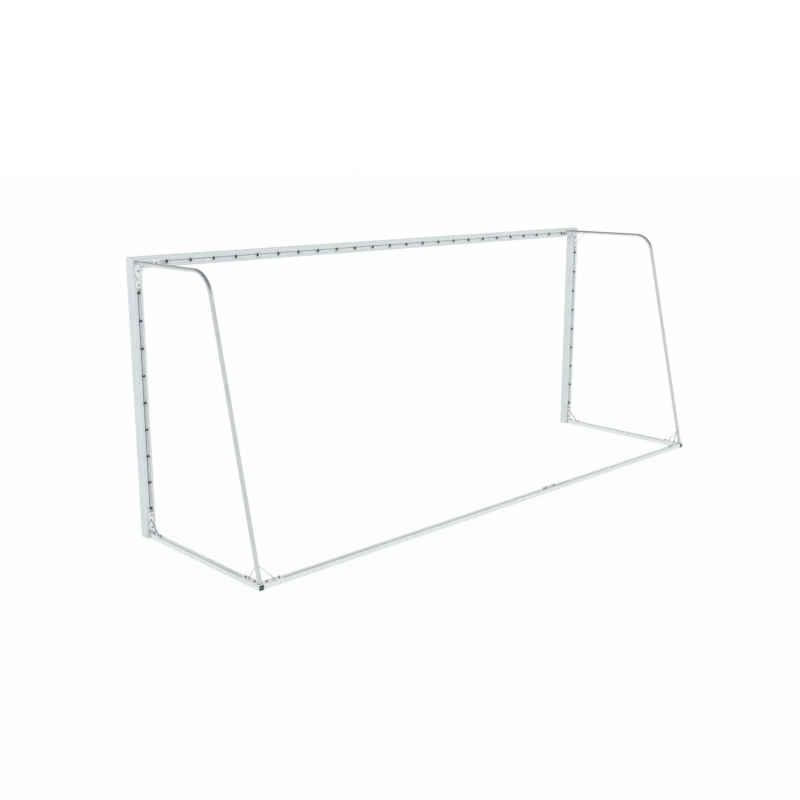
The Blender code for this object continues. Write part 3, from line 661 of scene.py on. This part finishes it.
def add_hook(bm, seat, across, along):
    smaller = shrink(HOOK_OUTLINE, HOOK_SOFTENING)
    rings = []
    for way, outline, inset in ((-1, smaller, 0), (-1, HOOK_OUTLINE, HOOK_SOFTENING),
                                (1, HOOK_OUTLINE, HOOK_SOFTENING), (1, smaller, 0)):
        ring = []
        for point in outline:
            share = max(0, point.x / HOOK_REACH)
            half = HOOK_HALF * (1 - share) + NOSE_HALF * share - HOOK_SOFTENING + inset
            ring.append(seat + across * point.x + BACK * point.y + along * way * half)
        rings.append(ring)
    add_rings(bm, rings)


print("a hook is", 2000 * HOOK_HALF, "mm wide and its nose", 2000 * NOSE_HALF, "mm")

# %% [markdown]
# The CAD has each rail and its hooks in one node. Here they become two pieces, because their
# plastics differ, and both stand in for that node. The hooks are counted from the node's length,
# and the row is centred on it.

# %% Rows of hooks
HOOK_PITCH = 0.200


def make_hook_row(node, across, along, rail_finish):
    low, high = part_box(node)
    groove = (low + high) / 2 + across * (UNDERCUT_HALF - HOOK_REACH) / 2
    groove.y = REAR_FACE_Y
    run = abs((high - low).dot(along))
    bm = bmesh.new()
    add_rings(bm, [[groove + across * p.x + BACK * p.y + along * end * run / 2
                    for p in RAIL_OUTLINE] for end in (-1, 1)])
    rail = make_piece(node.replace("hook_strip", "hook_rail"), bm, rail_finish)
    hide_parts(node)
    count = round((run - 2 * HOOK_HALF) / HOOK_PITCH) + 1
    bm = bmesh.new()
    for index in range(count):
        add_hook(bm, groove + along * HOOK_PITCH * (index - (count - 1) / 2), across, along)
    hooks = make_piece(node.replace("hook_strip", "net_hooks"), bm, black_plastic)
    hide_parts(node)
    return count


hook_counts = [make_hook_row("hook_strip_crossbar", UP, Vector((1, 0, 0)), crossbar_rail)]
for name, side in LEFT_RIGHT:
    hook_counts.append(make_hook_row("hook_strip_post_" + name, Vector((side, 0, 0)), UP,
                                     shaded_post_rail))
print("hooks", hook_counts)

# %% [markdown]
# ## The braces
#
# Thin rods run at 45 degrees from each plate to its tube, and from the post's bracket down to the
# side bar. The rods are drawn again as smooth rounds between the ends of the CAD rods. A CAD rod
# has points at its two ends only, so the middle of the points in one half is one of its ends.

# %% Smooth braces
STAY_RADIUS = 0.004
STAY_SIDES = 28


def rod_ends(node):
    """The two ends of a straight CAD rod, found along its own longest direction."""
    points = [vertex.co.copy() for vertex in nodes[node].data.vertices]
    middle = sum(points, Vector()) / len(points)
    far = max(points, key=lambda p: (p - middle).length)
    along = (far - middle).normalized()
    first = [p for p in points if (p - middle).dot(along) > 0]
    second = [p for p in points if (p - middle).dot(along) <= 0]
    return sum(first, Vector()) / len(first), sum(second, Vector()) / len(second)


RODS = [name for name in nodes if "_stay_" in name]
outline = circle(STAY_RADIUS, STAY_SIDES)
rod_lengths = {}
for name in RODS:
    start, end = rod_ends(name)
    length = (end - start).length
    bm = bmesh.new()
    add_stack(bm, start, (end - start).normalized(), ((outline, 0), (outline, length)))
    # The base braces get the darker zinc, which is painted shade.
    finish = shaded_brace_zinc if name.startswith("base") else brace_zinc
    rod = make_piece(name.replace("stay", "brace"), bm, finish)
    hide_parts(name)
    rod_lengths[name] = round(length, 4)
print("braces", rod_lengths)

# %% [markdown]
# ## Weld beads
#
# The tubes and the rods are welded to their plates. A weld bead is a small rounded fillet with a
# ripple every few millimetres, where the welder moved the torch. It is made as a quarter-round
# profile carried round the foot of the tube or rod, with its size going up and down a little.
# Everything is galvanised after the welding, so the beads are almost as pale as the plates.

# %% A weld bead
RIPPLE = 0.0022
FEWEST_RIPPLES = 8
RIPPLE_STEPS = 4
RIPPLE_SHARE = 0.13
WAVER_SHARE = 0.08
ROOT_SHARE = 0.3
BEAD_ROUND_STEPS = 5


def add_bead(bm, foot, axis, surface, radius, size):
    """A fillet where a round bar along an axis meets a flat surface with the given normal."""
    ripples = max(FEWEST_RIPPLES, round(2 * math.pi * radius / RIPPLE))
    steps = ripples * RIPPLE_STEPS
    across, up = frame_round(axis)
    rings = []
    for step in range(steps):
        angle = 2 * math.pi * step / steps
        out = across * math.cos(angle) + up * math.sin(angle)
        skin = foot + out * radius
        skin = skin + axis * (foot - skin).dot(surface) / axis.dot(surface)
        flat_out = (out - surface * out.dot(surface)).normalized()
        ripple = RIPPLE_SHARE * math.cos(2 * math.pi * step / RIPPLE_STEPS)
        width = size * (1 + ripple + WAVER_SHARE * math.sin(3 * angle))
        ring = [skin - flat_out * size * ROOT_SHARE]
        for turn in range(BEAD_ROUND_STEPS + 1):
            swing = math.pi / 2 * turn / BEAD_ROUND_STEPS
            ring.append(skin + (flat_out * math.cos(swing) + axis * math.sin(swing)) * width)
        rings.append(ring)
    add_rings(bm, rings, closed=True)


print("ripples round a tube", round(2 * math.pi * TUBE_RADIUS / RIPPLE))

# %% [markdown]
# Each tube has a bead at both its ends, and each rod has one on its plate or bracket and one
# where it lands. A rod's upper end lands on the round of its tube, or on the post's bracket. There
# the bead's flat surface is the one that faces the rod.

# %% Beads at every joint
TUBE_BEAD = 0.0028
ROD_BEAD = 0.0018

bead_count = 0
for name, side in LEFT_RIGHT:
    top, crossing, foot = tube_ends(name, side)
    leg = (crossing - foot).normalized()
    bm = bmesh.new()
    add_bead(bm, top, BACK, BACK, TUBE_RADIUS, TUBE_BEAD)
    add_bead(bm, foot, leg, UP, TUBE_RADIUS, TUBE_BEAD)
    bead_count += 2
    for rod, surface, tube_axis in (("arch_top_stay_post_", BACK, BACK),
                                    ("arch_top_stay_crossbar_", BACK, BACK),
                                    ("arch_foot_stay_side_", UP, leg),
                                    ("arch_foot_stay_rear_", UP, leg),
                                    ("base_stay_", UP, None)):
        lower, upper = sorted(rod_ends(rod + name), key=lambda p: p.dot(surface))
        axis = (upper - lower).normalized()
        if tube_axis is None:
            landing = BACK
        else:
            landing = (tube_axis * axis.dot(tube_axis) - axis).normalized()
        add_bead(bm, lower, axis, surface, STAY_RADIUS, ROD_BEAD)
        add_bead(bm, upper, -axis, landing, STAY_RADIUS, ROD_BEAD)
        bead_count += 2
    make_piece("weld_beads_" + name, bm, weld_bead)
print("weld beads", bead_count)

# %% [markdown]
# ## Bolts and washers
#
# Every plate is held by hexagon bolts on washers. A real bolt head is a hexagon whose top corners
# are turned away by a cone, so its upper rim is a circle. The head is a stack of rings: washer,
# hexagon, and a smaller circle on top. In the photograph they are small grey specks, a little
# darker than the plates, so the zinc on them is a duller one.

# %% A bolt on its washer
WASHER_RADIUS = 0.0085
WASHER_THICKNESS = 0.0015
WASHER_EDGE = 0.0004
HEAD_FLATS = 0.013
HEAD_HEIGHT = 0.0053
HEAD_CONE = 0.0009
RIM_INSET = 0.0003
DISH_INSET = 0.0022
DISH_DEPTH = 0.0002
BOLT_SIDES = 36


def hexagon(flats, steps):
    sixth = math.pi / 3
    points = []
    for i in range(steps):
        angle = 2 * math.pi * i / steps
        reach = flats / 2 / math.cos(angle % sixth - sixth / 2)
        points.append(Vector((reach * math.cos(angle), reach * math.sin(angle))))
    return points


def add_bolt(bm, seat, outward):
    washer = circle(WASHER_RADIUS, BOLT_SIDES)
    inner = circle(WASHER_RADIUS - WASHER_EDGE, BOLT_SIDES)
    add_stack(bm, seat, outward, ((inner, FIT), (washer, 2 * FIT),
                                  (washer, WASHER_THICKNESS), (inner, WASHER_THICKNESS + FIT)))
    base = WASHER_THICKNESS + 2 * FIT
    top = base + HEAD_HEIGHT
    head = hexagon(HEAD_FLATS, BOLT_SIDES)
    rim = circle(HEAD_FLATS / 2 - RIM_INSET, BOLT_SIDES)
    dish = circle(HEAD_FLATS / 2 - DISH_INSET, BOLT_SIDES)
    add_stack(bm, seat, outward, ((head, base), (head, top - HEAD_CONE), (rim, top),
                                  (dish, top - DISH_DEPTH)))


print("bolt head", 1000 * HEAD_FLATS, "mm across flats")

# %% [markdown]
# The bolts stand over the CAD's holes. On a top plate they follow the groove, which lies nearer
# to the mouth than the middle of the plate's arms. On a ground plate they follow the middle of
# the bars. A bracket has two bolts up the post and two along the side bar.

# %% Bolts in every plate
PLATE_BOLTS = (0.057, 0.158)
GROOVE_OFFSET = 0.008
BRACKET_POST_BOLTS = (0.080, 0.172)
BRACKET_BAR_BOLTS = (0.040, 0.125)


def plate_seats(corner, first, second, offset):
    """Bolt seats on the two arms of a plate, in rows moved towards its inner corner."""
    return [corner + way * place + other * offset
            for way, other in ((first, second), (second, first)) for place in PLATE_BOLTS]


def make_bolts(name, seats, outward, finish):
    bm = bmesh.new()
    for seat in seats:
        add_bolt(bm, seat, outward)
    make_piece("bolts_" + name, bm, finish)
    return len(seats)


bolt_count = 0
for name, side in LEFT_RIGHT:
    inwards = Vector((-side, 0, 0))
    top = plate_corner("arch_top_plate_" + name, side)
    foot = plate_corner("arch_foot_plate_" + name, side)
    thickness = top.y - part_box("arch_top_plate_" + name)[0].y
    bracket_face = REAR_FACE_Y + thickness + FIT
    groove_x = foot.x + inwards.x * GROOVE_OFFSET
    post_seats = [Vector((groove_x, bracket_face, z)) for z in BRACKET_POST_BOLTS]
    bar_seats = [Vector((foot.x, REAR_FACE_Y + y, foot.z)) for y in BRACKET_BAR_BOLTS]
    for place, seats, outward in (("top_", plate_seats(top, inwards, -UP, GROOVE_OFFSET), BACK),
                                  ("ground_", plate_seats(foot, inwards, -BACK, 0), UP),
                                  ("post_", post_seats, BACK), ("bar_", bar_seats, UP)):
        bolt_count += make_bolts(place + name, seats, outward, bolt_zinc)
print("bolts", bolt_count)

# %% [markdown]
# The splice plate on the rear bar has one bolt near each end. In the photograph that plate is a
# thin dark line with no specks on it, so it and its bolts get the darker zinc, painted shade.

# %% Bolts in the splice
SPLICE_BOLT_OFFSET = 0.055

low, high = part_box("splice_plate")
middle = Vector(((low.x + high.x) / 2, (low.y + high.y) / 2, high.z))
splice_seats = [middle + Vector((end * SPLICE_BOLT_OFFSET, 0, 0)) for end in (-1, 1)]
print("splice bolts", make_bolts("splice", splice_seats, UP, shaded_brace_zinc))

# %% [markdown]
# ## Screws in the corners
#
# Screws through the inner faces hold the hidden corner connectors. Nothing on a goal may stick
# out where players run, so they are low domed heads with a hexagon socket, coated together with
# the frame. The head is a stack of rings again, which goes up over the dome and then down into
# the socket. The connectors lie in the section's hollow, in front of the groove, so the screws
# are 8 mm in front of the section's middle.

# %% Corner screws
PROFILE = 0.080
HOLLOW_SETBACK = 0.008
SCREW_PLACES = (0.080, 0.125)
SCREW_RADIUS = 0.0055
DOME_HEIGHT = 0.0026
DOME_SWING = math.radians(65)
DOME_STEPS = 5
SOCKET_FLATS = 0.003
SOCKET_FLOOR = 0.0010


def add_screw(bm, seat, outward):
    steps = [(circle(SCREW_RADIUS, BOLT_SIDES), FIT)]
    for turn in range(DOME_STEPS + 1):
        swing = DOME_SWING * turn / DOME_STEPS
        steps.append((circle(SCREW_RADIUS * math.cos(swing), BOLT_SIDES),
                      2 * FIT + DOME_HEIGHT * math.sin(swing)))
    socket = hexagon(SOCKET_FLATS, BOLT_SIDES)
    steps += [(socket, DOME_HEIGHT), (socket, SOCKET_FLOOR)]
    add_stack(bm, seat, outward, steps)


for name, side in LEFT_RIGHT:
    low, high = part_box("post_" + name)
    middle = (low.y + high.y) / 2 - HOLLOW_SETBACK
    inner = low.x if side > 0 else high.x
    centre = inner + side * PROFILE / 2
    bm = bmesh.new()
    for place in SCREW_PLACES:
        add_screw(bm, Vector((centre - side * place, middle, high.z - PROFILE)), -UP)
        add_screw(bm, Vector((inner, middle, high.z - PROFILE / 2 - place)),
                  Vector((-side, 0, 0)))
    make_piece("corner_screws_" + name, bm, post_coat)
print("corner screws", 2 * len(SCREW_PLACES) * len(LEFT_RIGHT))

# %% [markdown]
# ## The floor
#
# The photograph's background is white with nothing on it. The floor here is pale, and most of what
# the camera sees of it is a plain white glow, so it joins the white of the sky without a line. The
# rest is a real surface, which keeps a soft shadow under the bars. Mirror-like rays see the same
# white, so the zinc looks as if it stood in a bright place.

# %% The floor's finish
FLOOR_COLOUR = (0.90, 0.90, 0.90, 1)
FLOOR_ROUGHNESS = 0.9
GLOW_COLOUR = (1, 1, 1, 1)
GLOW_STRENGTH = 1.12
GLOW_SHARE = 0.70


def seen_directly(tree):
    """1 for what the camera sees itself, in a gloss or through glass, and 0 for the rest."""
    path = tree.nodes.new("ShaderNodeLightPath")
    either = combine(tree, "MAXIMUM", path.outputs["Is Camera Ray"],
                     path.outputs["Is Glossy Ray"])
    return combine(tree, "MAXIMUM", either, path.outputs["Is Transmission Ray"])


floor_finish, tree, shader = new_finish("pale_floor")
shader.inputs["Base Color"].default_value = FLOOR_COLOUR
shader.inputs["Roughness"].default_value = FLOOR_ROUGHNESS
glow = tree.nodes.new("ShaderNodeEmission")
glow.inputs["Color"].default_value = GLOW_COLOUR
glow.inputs["Strength"].default_value = GLOW_STRENGTH
mix = tree.nodes.new("ShaderNodeMixShader")
tree.links.new(combine(tree, "MULTIPLY", seen_directly(tree), GLOW_SHARE), mix.inputs[0])
tree.links.new(shader.outputs["BSDF"], mix.inputs[1])
tree.links.new(glow.outputs["Emission"], mix.inputs[2])
tree.links.new(mix.outputs["Shader"], tree.nodes["Material Output"].inputs["Surface"])
print("a plain glow is", GLOW_SHARE, "of the floor that the camera sees")

# %% [markdown]
# The floor is so wide that its edge is lost in the sky, and it lies half a millimetre below the
# goal, so that the two never share a plane.

# %% Floor
FLOOR_HALF = 400
FLOOR_SQUARES = 8
FLOOR_DROP = 0.0005

bm = bmesh.new()
bmesh.ops.create_grid(bm, x_segments=FLOOR_SQUARES, y_segments=FLOOR_SQUARES, size=FLOOR_HALF)
floor_mesh = bpy.data.meshes.new("floor")
bm.to_mesh(floor_mesh)
bm.free()
floor_mesh.materials.append(floor_finish)
floor = bpy.data.objects.new("floor", floor_mesh)
floor.location.z = -FLOOR_DROP
bpy.context.scene.collection.objects.link(floor)
print("floor", floor.dimensions.to_tuple(1))

# %% [markdown]
# ## Light
#
# The light is that of a bright hazy day: white all round, up to 22 degrees above the horizon, and
# a dull grey from 30 degrees up. The white part is also the background that the camera sees. A
# post or a leg faces the horizon and looks pale, while the top of a level tube faces the duller
# sky and looks darker, as in the photograph.

# %% Sky
SKY_LOW = (1.0, 1.0, 1.0)
SKY_HIGH = (0.33, 0.34, 0.37)
SKY_TURN = (0.37, 0.50)

world = bpy.data.worlds.new("bright_sky")
bpy.context.scene.world = world
world.use_nodes = True
sky = world.node_tree
where = sky.nodes.new("ShaderNodeTexCoord")
split = sky.nodes.new("ShaderNodeSeparateXYZ")
sky.links.new(where.outputs["Generated"], split.inputs["Vector"])
ramp = mix_colours(sky, remap(sky, split.outputs["Z"], *SKY_TURN, 0, 1), SKY_LOW, SKY_HIGH)
sky.links.new(ramp, sky.nodes["Background"].inputs["Color"])
print("sky turns grey between", [round(math.degrees(math.asin(z))) for z in SKY_TURN], "degrees")

# %% [markdown]
# One broad soft lamp shines from behind and from the side of the near post, and lights its side
# face and the rear faces about equally. It is left out of reflections, because a lamp mirrored in
# a round tube would draw a white line along it, and the photograph shows none.

# %% Lamp
LAMP_STRENGTH = 1.7
LAMP_ANGLE = math.radians(120)
LAMP_DIRECTION = Vector((-0.62, -0.62, -0.48))

lamp_data = bpy.data.lights.new("soft_side_light", "SUN")
lamp_data.energy = LAMP_STRENGTH
lamp_data.angle = LAMP_ANGLE
lamp = bpy.data.objects.new("soft_side_light", lamp_data)
lamp.visible_glossy = False
lamp.rotation_euler = LAMP_DIRECTION.to_track_quat("-Z", "Y").to_euler()
bpy.context.scene.collection.objects.link(lamp)
bpy.context.scene.view_settings.view_transform = "Standard"
print("lamp points", lamp.rotation_euler)
